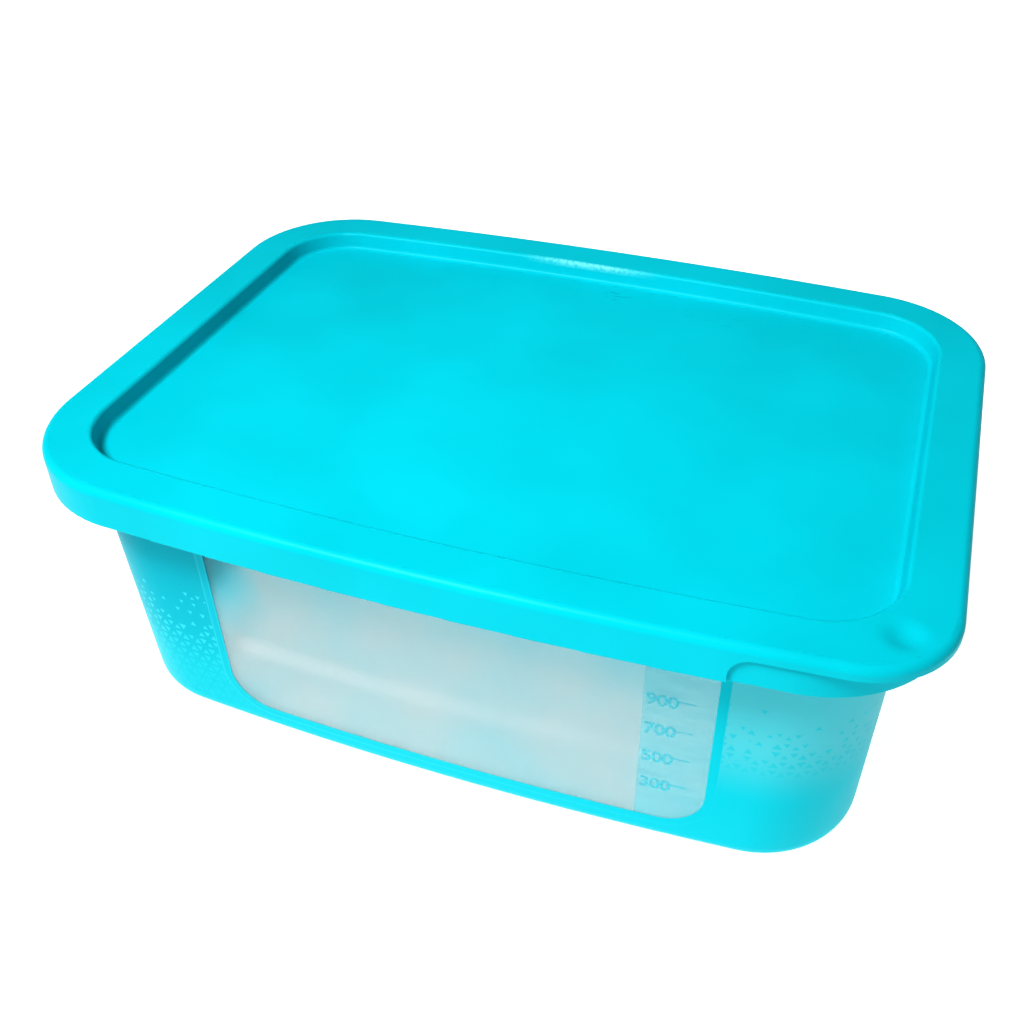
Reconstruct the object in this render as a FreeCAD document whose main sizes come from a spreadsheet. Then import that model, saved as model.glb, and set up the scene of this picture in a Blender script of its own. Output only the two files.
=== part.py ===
# Freezer container: a thin-walled food tub with a press-on lid.
#
# Two moulded pieces, each a PartDesign body.  The tub has bowed long sides, a
# flange round its mouth and a raised floor inside a wide foot.  The lid has a
# sunk panel whose wall plugs into the tub's mouth, a skirt with a bead that
# grips under the tub's flange, and a lifting tab at its front right corner.
#
# Millimetres.  X runs along the long sides, Y from front to back, Z up.  The
# origin is under the middle of the tub's foot.
import FreeCAD, Part
import os
from math import atan2, pi, sin, sqrt

import Sketcher

doc = FreeCAD.newDocument("freezer_container")

NEAR = 0.01  # how close two heights are when they count as the same

# ---------------------------------------------------------------- driving sizes

SIZES = [
    # the whole
    ("lid_length", 202.0, "over the lid's straight ends"),
    ("lid_width", 148.0, "over the lid at the middle of its bowed long sides"),
    ("total_height", 75.5, "foot to the lid's rim"),
    # lid, seen from above
    ("lid_bow_radius", 1100.0, "long sides of the lid in plan"),
    ("lid_corner", 29.0, "skirt's corner in plan"),
    ("lid_rim_width", 11.2, "flat rim, from the skirt's face to the sunk panel's edge"),
    ("panel_corner", 17.0, "sunk panel's corner in plan"),
    ("panel_depth", 4.5, "rim down to the sunk panel"),
    ("panel_draft", 0.9, "how far the sunk panel's wall leans in"),
    # lid, in section
    ("rim_thickness", 1.8, "lid's rim"),
    ("panel_thickness", 1.4, "sunk panel"),
    ("plug_wall", 1.3, "wall between the rim and the sunk panel, at its top"),
    ("skirt_depth", 9.8, "rim down to the skirt's lower edge"),
    ("skirt_wall", 1.9, "skirt"),
    ("rim_round", 1.8, "outer top edge"),
    ("panel_edge_round", 1.0, "edge where the rim turns down to the panel"),
    ("panel_foot_round", 1.3, "foot of the sunk panel's wall"),
    ("skirt_edge_round", 0.4, "skirt's lower outer edge"),
    # lifting tab at the front right corner
    ("tab_corner", 20.0, "tab's corner in plan, sharper than the skirt's"),
    ("tab_thickness", 3.0, "tab"),
    ("relief_length", 39.0, "from the lid's end or side to where the skirt steps back"),
    ("relief_depth", 0.7, "how far the skirt steps back under the tab"),
    ("relief_round", 4.5, "upper corner of that step"),
    ("scoop_from_end", 10.2, "thumb scoop's middle, from the lid's end"),
    ("scoop_from_side", 14.5, "thumb scoop's middle, from the lid's widest line"),
    ("scoop_radius", 5.3, "thumb scoop, out to where it runs level into the rim"),
    ("scoop_depth", 0.9, "thumb scoop"),
    # fits between the two
    ("plug_clearance", 0.2, "sunk panel's wall to the inside of the tub's mouth"),
    ("flange_clearance", 0.6, "tub's flange to the inside of the skirt"),
    ("bead_reach", 0.9, "bead inside the skirt"),
    ("bead_height", 1.6, "bead, along the skirt"),
    ("bead_slope", 0.6, "bead's chamfers"),
    ("bead_clearance", 0.3, "under the flange to the bead"),
    # tub
    ("tub_wall", 1.2, "side walls"),
    ("flange_thickness", 1.6, "flange round the mouth"),
    ("flange_round", 0.5, "flange's outer edges"),
    ("mouth_depth", 7.7, "mouth's upright band, from the flange's top to the shoulder"),
    ("shoulder_step", 0.8, "how far the walls step in below the mouth"),
    ("shoulder_height", 1.0, "step, from outside to inside"),
    ("tub_bow_radius", 950.0, "long sides of the tub in plan"),
    ("shoulder_corner", 20.4, "wall's corner in plan, at the shoulder"),
    ("base_corner", 25.0, "wall's corner in plan, at the base"),
    ("end_lean", 0.3, "how far each end wall leans in towards the base"),
    ("side_lean", 1.8, "how far each long wall leans in towards the base"),
    ("base_round", 5.0, "edge between walls and base"),
    # base
    ("floor_thickness", 1.5, "base"),
    ("foot_width", 18.5, "flat foot round the raised floor"),
    ("floor_raise", 2.8, "raised floor above the foot"),
    ("floor_corner", 9.0, "raised floor's corner in plan"),
    ("floor_draft", 1.5, "how far the raised floor's edge leans in"),
    ("floor_edge_wall", 0.9, "raised floor's edge, measured level"),
    ("floor_edge_round", 0.9, "raised floor's upper edge"),
]

sheet = doc.addObject("Spreadsheet::Sheet", "sizes")
for row, (alias, number, note) in enumerate(SIZES, start=1):
    sheet.set("A%d" % row, alias)
    sheet.set("B%d" % row, str(number))
    sheet.set("C%d" % row, note)
    sheet.setAlias("B%d" % row, alias)
doc.recompute()


class Size:
    """A length of the sheet, or a sum of such: its number now, and its expression."""

    def __init__(self, number, text):
        self.number = number
        self.text = text

    def joined(self, other, sign, number):
        return Size(number, "(%s %s %s)" % (self.text, sign, other.text))

    def __add__(self, other):
        return self.joined(other, "+", self.number + other.number)

    def __sub__(self, other):
        return self.joined(other, "-", self.number - other.number)

    def half(self):
        return Size(self.number / 2, "(%s / 2)" % self.text)

    def negative(self):
        return Size(-self.number, "(-1 * %s)" % self.text)


def size(alias):
    return Size(float(sheet.get(alias)), "sizes." + alias)


class Outline:
    """A plan outline: straight ends, bowed long sides, rounded corners."""

    def __init__(self, half_length, half_width, bow, corner, front_right=None):
        self.half_length = half_length
        self.half_width = half_width
        self.bow = bow
        self.corner = corner
        self.front_right = front_right or corner

    def inset(self, distance):
        """The outline moved inwards by a distance all round."""
        return Outline(self.half_length - distance, self.half_width - distance,
                       self.bow - distance, self.corner - distance)


# --------------------------------------------------------- sketches and features

def origin_plane(body, role):
    for feature in body.Origin.OriginFeatures:
        if feature.Role == role:
            return feature


def new_sketch(body, name, role, offset):
    """An empty sketch on one of the body's origin planes, moved along its normal."""
    sketch = body.newObject("Sketcher::SketchObject", name)
    sketch.AttachmentSupport = [(origin_plane(body, role), "")]
    sketch.MapMode = "FlatFace"
    sketch.setExpression("AttachmentOffset.Base.z", offset.text)
    return sketch


def bind(sketch, constraint, length):
    """Adds a dimension to a sketch and ties it to the sheet."""
    index = sketch.addConstraint(constraint)
    sketch.setExpression("Constraints[%d]" % index, length.text)


def arc(centre_x, centre_y, radius, start, end):
    circle = Part.Circle(FreeCAD.Vector(centre_x, centre_y, 0), FreeCAD.Vector(0, 0, 1), radius)
    return Part.ArcOfCircle(circle, start, end)


def corner_place(outline, corner):
    """Height of a corner arc's centre, and the angle where it meets the bowed side."""
    bow_centre = outline.half_width.number - outline.bow.number
    reach = outline.half_length.number - corner.number
    rise = sqrt((outline.bow.number - corner.number) ** 2 - reach ** 2)
    return bow_centre + rise, atan2(rise, reach)


def draw_outline(sketch, outline):
    """Draws a closed outline anticlockwise from its right end, fully dimensioned."""
    half_length, bow, corner = outline.half_length, outline.bow, outline.corner
    sharp = outline.front_right
    depth = bow - outline.half_width
    centre_y, turn = corner_place(outline, corner)
    sharp_y, sharp_turn = corner_place(outline, sharp)
    right, left = half_length.number, -half_length.number
    reach, sharp_reach = right - corner.number, right - sharp.number
    first = sketch.GeometryCount

    def line(x, y_start, y_end):
        return Part.LineSegment(FreeCAD.Vector(x, y_start, 0), FreeCAD.Vector(x, y_end, 0))

    sketch.addGeometry([
        line(right, -sharp_y, centre_y),
        arc(reach, centre_y, corner.number, 0, turn),
        arc(0, -depth.number, bow.number, turn, pi - turn),
        arc(-reach, centre_y, corner.number, pi - turn, pi),
        line(left, centre_y, -centre_y),
        arc(-reach, -centre_y, corner.number, pi, pi + turn),
        arc(0, depth.number, bow.number, pi + turn, 2 * pi - sharp_turn),
        arc(sharp_reach, -sharp_y, sharp.number, 2 * pi - sharp_turn, 2 * pi),
    ], False)
    right_end, back, left_end, front = first, first + 2, first + 4, first + 6
    for step in range(8):
        following = first + (step + 1) % 8
        sketch.addConstraint(Sketcher.Constraint("Tangent", first + step, 2, following, 1))
    for end in (right_end, left_end):
        sketch.addConstraint(Sketcher.Constraint("Vertical", end))
    for side in (back, front):
        sketch.addConstraint(Sketcher.Constraint("PointOnObject", side, 3, -2))
    bind(sketch, Sketcher.Constraint("DistanceX", -1, 1, right_end, 1, right), half_length)
    bind(sketch, Sketcher.Constraint("DistanceX", left_end, 1, -1, 1, right), half_length)
    bind(sketch, Sketcher.Constraint("DistanceY", back, 3, -1, 1, depth.number), depth)
    bind(sketch, Sketcher.Constraint("DistanceY", -1, 1, front, 3, depth.number), depth)
    for side in (back, front):
        bind(sketch, Sketcher.Constraint("Radius", side, bow.number), bow)
    for rounded in (first + 1, first + 3, first + 5):
        bind(sketch, Sketcher.Constraint("Radius", rounded, corner.number), corner)
    bind(sketch, Sketcher.Constraint("Radius", first + 7, sharp.number), sharp)


def plan_sketch(body, name, height, *outlines):
    """A level sketch at a height, holding one outline or a ring of two."""
    sketch = new_sketch(body, name, "XY_Plane", height)
    for outline in outlines:
        draw_outline(sketch, outline)
    doc.recompute()
    return sketch


def extruded(body, kind, name, sketch, length, upwards=True):
    """A Pad or a Pocket of a level sketch."""
    feature = body.newObject("PartDesign::" + kind, name)
    feature.Profile = sketch
    feature.setExpression("Length", length.text)
    natural = kind == "Pad"
    feature.Reversed = natural != upwards
    sketch.Visibility = False
    doc.recompute()
    return feature


def lofted(body, kind, name, upper, lower):
    """A loft of two level sketches, downwards, which keeps its faces pointing outwards."""
    feature = body.newObject("PartDesign::" + kind, name)
    feature.Profile = upper
    feature.Sections = [lower]
    feature.Ruled = True
    doc.recompute()
    return feature


def placed(feature, body, x, y, z):
    """Fixes a primitive on the body's level plane, moved by three expressions."""
    feature.AttachmentSupport = [(origin_plane(body, "XY_Plane"), "")]
    feature.MapMode = "FlatFace"
    for axis, expression in zip("xyz", (x, y, z)):
        feature.setExpression("AttachmentOffset.Base." + axis, expression)


def middle(edge):
    """The point half way along an edge."""
    return edge.valueAt((edge.FirstParameter + edge.LastParameter) / 2)


def contains(outline, point):
    """Whether a point lies within an outline, judged by its nearest side or corner."""
    x, y = abs(point.x), abs(point.y)
    corner_y, turn = corner_place(outline, outline.corner)
    corner_x = outline.half_length.number - outline.corner.number
    if atan2(y - corner_y, x - corner_x) < turn and y > corner_y:
        return sqrt((x - corner_x) ** 2 + (y - corner_y) ** 2) < outline.corner.number
    bow_centre = outline.half_width.number - outline.bow.number
    within_bow = sqrt(x ** 2 + (y - bow_centre) ** 2) < outline.bow.number
    return x < outline.half_length.number and within_bow


def level_at(height, within=None, beyond=None):
    """A test for edges at one height, within one outline or beyond another."""
    def chosen(edge):
        box = edge.BoundBox
        point = middle(edge)
        level = box.ZLength < NEAR and abs(point.z - height.number) < NEAR
        return (level and (within is None or contains(within, point))
                and (beyond is None or not contains(beyond, point)))
    return chosen


def dressed(body, kind, name, dimension, amount, chosen):
    """A Fillet or Chamfer of the tip's edges that pass a test."""
    base = body.Tip
    edges = ["Edge%d" % index for index, edge in enumerate(base.Shape.Edges, start=1) if chosen(edge)]
    feature = body.newObject("PartDesign::" + kind, name)
    feature.Base = (base, edges)
    feature.setExpression(dimension, amount.text)
    doc.recompute()
    print("%s: %d edges, volume %.1f to %.1f" % (name, len(edges), base.Shape.Volume, feature.Shape.Volume))
    return feature


# ------------------------------------------------------------- shared plan sizes

lid_top = size("total_height")
lid_outline = Outline(size("lid_length").half(), size("lid_width").half(),
                      size("lid_bow_radius"), size("lid_corner"))
skirt_inside = lid_outline.inset(size("skirt_wall"))

panel_outline = lid_outline.inset(size("lid_rim_width"))
panel_outline = Outline(panel_outline.half_length, panel_outline.half_width,
                        panel_outline.bow, size("panel_corner"))
plug_outline = panel_outline.inset(size("plug_wall").negative())

mouth_inside = plug_outline.inset(size("plug_clearance").negative())
mouth_outline = mouth_inside.inset(size("tub_wall").negative())
flange_outline = skirt_inside.inset(size("flange_clearance"))
tub_top = lid_top - size("rim_thickness")
shoulder = tub_top - size("mouth_depth")

# ------------------------------------------------------------------------- lid

lid = doc.addObject("PartDesign::Body", "lid")
lid.Label = "lid"

skirt_bottom = lid_top - size("skirt_depth")
panel_top = lid_top - size("panel_depth")
panel_bottom = panel_top - size("panel_thickness")
relieved_outline = lid_outline.inset(size("relief_depth"))

# The skirt's outer skin is a ring, cut away round the tab's corner
skin = plan_sketch(lid, "SkinRing", skirt_bottom, lid_outline, relieved_outline)
extruded(lid, "Pad", "Skin", skin, size("skirt_depth"))

relief_height = "sizes.skirt_depth - sizes.tab_thickness + sizes.skirt_wall"
relief_z = "sizes.total_height - sizes.skirt_depth - sizes.skirt_wall"
relief_x = size("lid_length").half() - size("relief_length")
relief_y = size("lid_width").half() - size("relief_length")

front_relief = lid.newObject("PartDesign::SubtractiveBox", "FrontRelief")
front_relief.setExpression("Length", "sizes.relief_length + sizes.skirt_wall")
front_relief.setExpression("Width", "sizes.lid_corner + sizes.skirt_wall")
front_relief.setExpression("Height", relief_height)
placed(front_relief, lid, relief_x.text, "-sizes.lid_width / 2 - sizes.skirt_wall", relief_z)

side_relief = lid.newObject("PartDesign::SubtractiveBox", "SideRelief")
side_relief.setExpression("Length", "sizes.lid_corner + sizes.skirt_wall")
side_relief.setExpression("Width", "sizes.relief_length + sizes.skirt_wall")
side_relief.setExpression("Height", relief_height)
placed(side_relief, lid, "sizes.lid_length / 2 - sizes.lid_corner",
       "-sizes.lid_width / 2 - sizes.skirt_wall", relief_z)
doc.recompute()


def relief_corner(edge):
    """The short level edges where the steps' upright ends meet the tab."""
    point = middle(edge)
    upper = abs(point.z - (lid_top - size("tab_thickness")).number) < NEAR
    at_front = abs(point.x - relief_x.number) < NEAR
    at_side = abs(point.y + relief_y.number) < NEAR
    return upper and edge.Length < size("skirt_wall").number and (at_front or at_side)


dressed(lid, "Fillet", "ReliefRound", "Radius", size("relief_round"), relief_corner)

# The block inside the skin, and the slab that reaches out as the tab
core = plan_sketch(lid, "CoreOutline", skirt_bottom, relieved_outline)
extruded(lid, "Pad", "Core", core, size("skirt_depth"))

tab_outline = Outline(lid_outline.half_length, lid_outline.half_width, lid_outline.bow,
                      lid_outline.corner, front_right=size("tab_corner"))
slab = plan_sketch(lid, "SlabOutline", lid_top - size("tab_thickness"), tab_outline)
extruded(lid, "Pad", "Slab", slab, size("tab_thickness"))
dressed(lid, "Fillet", "RimRound", "Radius", size("rim_round"), level_at(lid_top))
dressed(lid, "Fillet", "SkirtEdge", "Radius", size("skirt_edge_round"), level_at(skirt_bottom))

# The sunk panel, whose wall leans in
panel_foot = panel_outline.inset(size("panel_draft"))
panel_edge = plan_sketch(lid, "PanelEdge", lid_top, panel_outline)
panel_floor = plan_sketch(lid, "PanelFloor", panel_top, panel_foot)
lofted(lid, "SubtractiveLoft", "SunkPanel", panel_edge, panel_floor)
dressed(lid, "Fillet", "PanelEdgeRound", "Radius", size("panel_edge_round"),
        level_at(lid_top, within=panel_outline.inset(size("plug_wall").negative())))
dressed(lid, "Fillet", "PanelFootRound", "Radius", size("panel_foot_round"), level_at(panel_top))

# Thumb scoop on the rim's corner: a dish whose edge runs level into the rim, turned from
# a profile of two like arcs
scoop_radius, scoop_depth = size("scoop_radius"), size("scoop_depth")
scoop_head = scoop_depth  # the profile closes above the rim, in the open
scoop_turn = 2 * atan2(scoop_depth.number, scoop_radius.number)
scoop_curve = scoop_radius.number / (2 * sin(scoop_turn))

profile = new_sketch(lid, "ScoopProfile", "XZ_Plane",
                     size("lid_width").half() - size("scoop_from_side"))
profile.setExpression("AttachmentOffset.Base.x",
                      (size("lid_length").half() - size("scoop_from_end")).text)
profile.setExpression("AttachmentOffset.Base.y", lid_top.text)
rim_end = FreeCAD.Vector(scoop_radius.number, 0, 0)
head_end = FreeCAD.Vector(scoop_radius.number, scoop_head.number, 0)
head_middle = FreeCAD.Vector(0, scoop_head.number, 0)
dish_middle = FreeCAD.Vector(0, -scoop_depth.number, 0)
profile.addGeometry([
    arc(0, scoop_curve - scoop_depth.number, scoop_curve, -pi / 2, scoop_turn - pi / 2),
    arc(scoop_radius.number, -scoop_curve, scoop_curve, pi / 2, pi / 2 + scoop_turn),
    Part.LineSegment(rim_end, head_end),
    Part.LineSegment(head_end, head_middle),
    Part.LineSegment(head_middle, dish_middle),
], False)
DISH, LIP, SIDE, HEAD, AXIS = range(5)
profile.addConstraint([
    Sketcher.Constraint("Tangent", DISH, 2, LIP, 2),
    Sketcher.Constraint("Coincident", LIP, 1, SIDE, 1),
    Sketcher.Constraint("Coincident", SIDE, 2, HEAD, 1),
    Sketcher.Constraint("Coincident", HEAD, 2, AXIS, 1),
    Sketcher.Constraint("Coincident", AXIS, 2, DISH, 1),
    Sketcher.Constraint("PointOnObject", DISH, 3, -2),
    Sketcher.Constraint("PointOnObject", DISH, 1, -2),
    Sketcher.Constraint("PointOnObject", LIP, 1, -1),
    Sketcher.Constraint("Vertical", LIP, 3, LIP, 1),
    Sketcher.Constraint("Vertical", SIDE),
    Sketcher.Constraint("Horizontal", HEAD),
    Sketcher.Constraint("PointOnObject", HEAD, 2, -2),
    Sketcher.Constraint("Equal", DISH, LIP),
])
bind(profile, Sketcher.Constraint("DistanceX", -1, 1, LIP, 1, scoop_radius.number), scoop_radius)
bind(profile, Sketcher.Constraint("DistanceY", DISH, 1, -1, 1, scoop_depth.number), scoop_depth)
bind(profile, Sketcher.Constraint("DistanceY", -1, 1, HEAD, 1, scoop_head.number), scoop_head)
doc.recompute()
scoop = lid.newObject("PartDesign::Groove", "Scoop")
scoop.Profile = profile
scoop.ReferenceAxis = (profile, ["V_Axis"])
scoop.Angle = 360
profile.Visibility = False
doc.recompute()

# The hollow underneath: the whole width up to the panel, then a channel up to the rim
hollow = plan_sketch(lid, "HollowOutline", skirt_bottom, skirt_inside)
extruded(lid, "Pocket", "Hollow", hollow, panel_bottom - skirt_bottom)
channel = plan_sketch(lid, "ChannelRing", panel_bottom, skirt_inside, plug_outline)
extruded(lid, "Pocket", "Channel", channel, lid_top - size("rim_thickness") - panel_bottom)

# The bead that grips under the tub's flange
bead_top = tub_top - size("flange_thickness") - size("bead_clearance")
bead_bottom = bead_top - size("bead_height")
bead_inside = skirt_inside.inset(size("bead_reach"))
bead = plan_sketch(lid, "BeadRing", bead_bottom, skirt_inside, bead_inside)
extruded(lid, "Pad", "Bead", bead, size("bead_height"))
bead_face = skirt_inside.inset(size("bead_slope"))
dressed(lid, "Chamfer", "BeadSlopeUnder", "Size", size("bead_slope"),
        level_at(bead_bottom, within=bead_face))
dressed(lid, "Chamfer", "BeadSlopeOver", "Size", size("bead_slope"),
        level_at(bead_top, within=bead_face))

# ------------------------------------------------------------------------- tub

tub = doc.addObject("PartDesign::Body", "tub")
tub.Label = "tub"

ground = Size(0.0, "0 mm")
shoulder_outline = mouth_outline.inset(size("shoulder_step"))
shoulder_outline = Outline(shoulder_outline.half_length, shoulder_outline.half_width,
                           size("tub_bow_radius"), size("shoulder_corner"))
base_outline = Outline(shoulder_outline.half_length - size("end_lean"),
                       shoulder_outline.half_width - size("side_lean"),
                       size("tub_bow_radius"), size("base_corner"))

# Outside: leaning walls, the upright band of the mouth and its flange
base = plan_sketch(tub, "BaseOutline", ground, base_outline)
wall_top = plan_sketch(tub, "ShoulderOutline", shoulder, shoulder_outline)
lofted(tub, "AdditiveLoft", "Walls", wall_top, base)
dressed(tub, "Fillet", "BaseRound", "Radius", size("base_round"), level_at(ground))
mouth = plan_sketch(tub, "MouthOutline", shoulder, mouth_outline)
extruded(tub, "Pad", "MouthBand", mouth, size("mouth_depth"))
flange_bottom = tub_top - size("flange_thickness")
flange = plan_sketch(tub, "FlangeOutline", flange_bottom, flange_outline)
extruded(tub, "Pad", "Flange", flange, size("flange_thickness"))
dressed(tub, "Fillet", "FlangeTopRound", "Radius", size("flange_round"), level_at(tub_top))
dressed(tub, "Fillet", "FlangeUnderRound", "Radius", size("flange_round"),
        level_at(flange_bottom, beyond=mouth_outline.inset(size("tub_wall").negative())))

# Underneath, a shallow recess inside the foot, with leaning edges
foot_inside = base_outline.inset(size("foot_width"))
foot_inside = Outline(foot_inside.half_length, foot_inside.half_width,
                      foot_inside.bow, size("floor_corner"))
recess_low = plan_sketch(tub, "FootEdge", ground, foot_inside)
recess_high = plan_sketch(tub, "RecessTop", size("floor_raise"),
                          foot_inside.inset(size("floor_draft")))
lofted(tub, "SubtractiveLoft", "FootRecess", recess_high, recess_low)

# The space inside, as a body of its own: the same surfaces, one wall thickness further in,
# with a plateau over the recess
space = doc.addObject("PartDesign::Body", "space")
space.Label = "space inside the tub"
floor_top = size("floor_thickness")
space_base = plan_sketch(space, "SpaceBase", floor_top, base_outline.inset(size("tub_wall")))
space_shoulder = shoulder + size("shoulder_height")
space_top = plan_sketch(space, "SpaceShoulder", space_shoulder,
                        shoulder_outline.inset(size("tub_wall")))
lofted(space, "AdditiveLoft", "SpaceWalls", space_top, space_base)
dressed(space, "Fillet", "SpaceRound", "Radius", size("base_round") - size("tub_wall"),
        level_at(floor_top))
space_mouth = plan_sketch(space, "SpaceMouth", space_shoulder, mouth_inside)
extruded(space, "Pad", "SpaceMouthBand", space_mouth, tub_top - space_shoulder)
plateau = foot_inside.inset(size("floor_edge_wall").negative())
plateau_top = floor_top + size("floor_raise")
plateau_low = plan_sketch(space, "PlateauFoot", floor_top, plateau)
plateau_high = plan_sketch(space, "PlateauTop", plateau_top, plateau.inset(size("floor_draft")))
lofted(space, "SubtractiveLoft", "Plateau", plateau_high, plateau_low)
dressed(space, "Fillet", "PlateauRound", "Radius", size("floor_edge_round"),
        level_at(plateau_top))

hollowed = tub.newObject("PartDesign::Boolean", "Hollowed")
hollowed.setObjects([space])
hollowed.Type = "Cut"

# ------------------------------------------------------------------------ export

doc.recompute()
failed = [item.Name for item in doc.Objects if "Invalid" in item.State or "Error" in item.State]
if failed:
    raise RuntimeError("features failed: " + ", ".join(failed))
pieces = [lid, tub]
for piece in pieces:
    if piece.Shape.isNull() or not piece.Shape.isValid() or len(piece.Shape.Solids) != 1:
        raise RuntimeError("piece is not one sound solid: " + piece.Label)

os.makedirs("parts", exist_ok=True)
for piece in pieces:
    piece.Shape.exportStep("parts/%s.step" % piece.Label)
    box = piece.Shape.optimalBoundingBox()
    print("%s: %.1f x %.1f x %.1f mm, %.1f cubic cm" % (
        piece.Label, box.XLength, box.YLength, box.ZLength, piece.Shape.Volume / 1000))
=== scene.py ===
import math

import bmesh
import bpy
from mathutils import Matrix, Vector


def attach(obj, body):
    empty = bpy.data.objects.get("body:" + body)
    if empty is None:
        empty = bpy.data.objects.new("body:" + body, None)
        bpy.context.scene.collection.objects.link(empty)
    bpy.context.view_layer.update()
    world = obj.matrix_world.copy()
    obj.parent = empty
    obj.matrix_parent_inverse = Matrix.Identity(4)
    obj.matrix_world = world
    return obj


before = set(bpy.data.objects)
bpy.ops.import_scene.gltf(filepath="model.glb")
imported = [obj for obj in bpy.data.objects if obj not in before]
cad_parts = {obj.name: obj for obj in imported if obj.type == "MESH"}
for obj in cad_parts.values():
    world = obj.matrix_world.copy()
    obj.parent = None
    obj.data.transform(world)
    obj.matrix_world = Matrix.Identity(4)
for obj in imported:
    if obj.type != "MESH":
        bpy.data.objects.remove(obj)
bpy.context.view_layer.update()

# ------------------------------------------------------------ paper, lamps and camera
# A sheet of matt white paper that the container stands on, and two soft lamps: a small
# one high up at the front left, and a wide one low down at the front right. The camera
# looks down on the front from a little to the right.

MM = 0.001
PAPER_SIZE = 6.0
PAPER_DROP = 0.2 * MM         # keeps the paper clear of the tub's foot
PAPER_GREY, WHITE = "#D0D0D0", "#FFFFFF"
PAPER_GLOW = 0.63
ROOM_LIGHT = 0.17
KEY_PLACE, KEY_TARGET = (-0.165, -0.265, 0.5), (0.05, 0.02, 0.07)
FRONT_PLACE, FRONT_TARGET = (0.75, -0.95, 0.35), (0, 0, 0.05)
LENS, SENSOR = 40.388, 36.0   # millimetres, as on a lens
NEAREST_SEEN = 10 * MM
CAMERA_PLACE = (0.0762, -0.22105, 0.22042)
CAMERA_TURN, CAMERA_DIP, CAMERA_ROLL = 20.375, 38.33, -0.706     # degrees


def linear(hex_colour):
    """An sRGB hex colour as the linear colour that a shader takes."""
    channels = [int(hex_colour[i:i + 2], 16) / 255 for i in (1, 3, 5)]
    return tuple(c / 12.92 if c <= 0.04045 else ((c + 0.055) / 1.055) ** 2.4
                 for c in channels) + (1.0,)


def add_node(tree, kind, inputs=None, **settings):
    """Adds a node. inputs gives a socket, by name or number, a value or a node to link."""
    node = tree.nodes.new(kind)
    for name, value in settings.items():
        setattr(node, name, value)
    for socket, value in (inputs or {}).items():
        if isinstance(value, bpy.types.Node):
            value = value.outputs[0]
        if isinstance(value, bpy.types.NodeSocket):
            tree.links.new(value, node.inputs[socket])
        else:
            node.inputs[socket].default_value = value
    return node


def new_material(name):
    """A named material and its node tree, which is empty."""
    material = bpy.data.materials.new(name)
    material.use_nodes = True
    material.node_tree.nodes.clear()
    return material, material.node_tree


def only_select(piece):
    """Deselects all, then selects one piece and makes it the active one."""
    bpy.ops.object.select_all(action="DESELECT")
    bpy.context.view_layer.objects.active = piece
    piece.select_set(True)


def softbox(name, place, target, width, height, watts, spread=180):
    """A rectangular soft lamp at a place, turned towards a target."""
    lamp = bpy.data.lights.new(name, "AREA")
    lamp.shape = "RECTANGLE"
    lamp.size = width
    lamp.size_y = height
    lamp.energy = watts
    lamp.spread = math.radians(spread)
    box = bpy.data.objects.new(name, lamp)
    bpy.context.collection.objects.link(box)
    box.location = place
    box.rotation_euler = (Vector(target) - Vector(place)).to_track_quat("-Z", "Y").to_euler()


bpy.ops.object.select_all(action="DESELECT")
bpy.ops.mesh.primitive_plane_add(size=PAPER_SIZE, location=(0, 0, -PAPER_DROP))
paper = bpy.context.object
paper.name = "paper"
bpy.ops.object.transform_apply(location=True)

# Uncoated paper has no shine. It glows a little, for the light that a white room throws
# back on it, so it stays an even white right up to the tub.
matt_paper, tree = new_material("matt_paper_white")
surface = add_node(tree, "ShaderNodeBsdfPrincipled",
                   {"Base Color": linear(PAPER_GREY), "Roughness": 0.9,
                    "Specular IOR Level": 0.1, "Emission Color": linear(WHITE),
                    "Emission Strength": PAPER_GLOW})
add_node(tree, "ShaderNodeOutputMaterial", {"Surface": surface})
paper.data.materials.append(matt_paper)

world = bpy.data.worlds.new("studio")
bpy.context.scene.world = world
world.use_nodes = True
world.node_tree.nodes["Background"].inputs["Color"].default_value = linear(WHITE)
world.node_tree.nodes["Background"].inputs["Strength"].default_value = ROOM_LIGHT
softbox("key", KEY_PLACE, KEY_TARGET, width=0.17, height=0.17, watts=0.67, spread=90)
softbox("front", FRONT_PLACE, FRONT_TARGET, width=0.9, height=0.5, watts=0.5)

camera_data = bpy.data.cameras.new("camera")
camera = bpy.data.objects.new("camera", camera_data)
bpy.context.collection.objects.link(camera)
camera_data.lens = LENS
camera_data.sensor_width = SENSOR
camera_data.clip_start = NEAREST_SEEN
camera.matrix_world = (Matrix.Translation(CAMERA_PLACE)
                       @ Matrix.Rotation(math.radians(CAMERA_TURN), 4, "Z")
                       @ Matrix.Rotation(math.radians(90 - CAMERA_DIP), 4, "X")
                       @ Matrix.Rotation(math.radians(CAMERA_ROLL), 4, "Z"))
bpy.context.scene.camera = camera
bpy.context.scene.view_settings.view_transform = "Standard"
bpy.context.scene.view_settings.look = "High Contrast"

# ------------------------------------------------------------------------------ tub
# The tub: one injection moulding of uncoloured polypropylene with a wall of 1.2 mm, long
# sides that bow outwards, and a flange round its mouth that the lid grips. The printed
# film of the next section is moulded into its outside.

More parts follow.
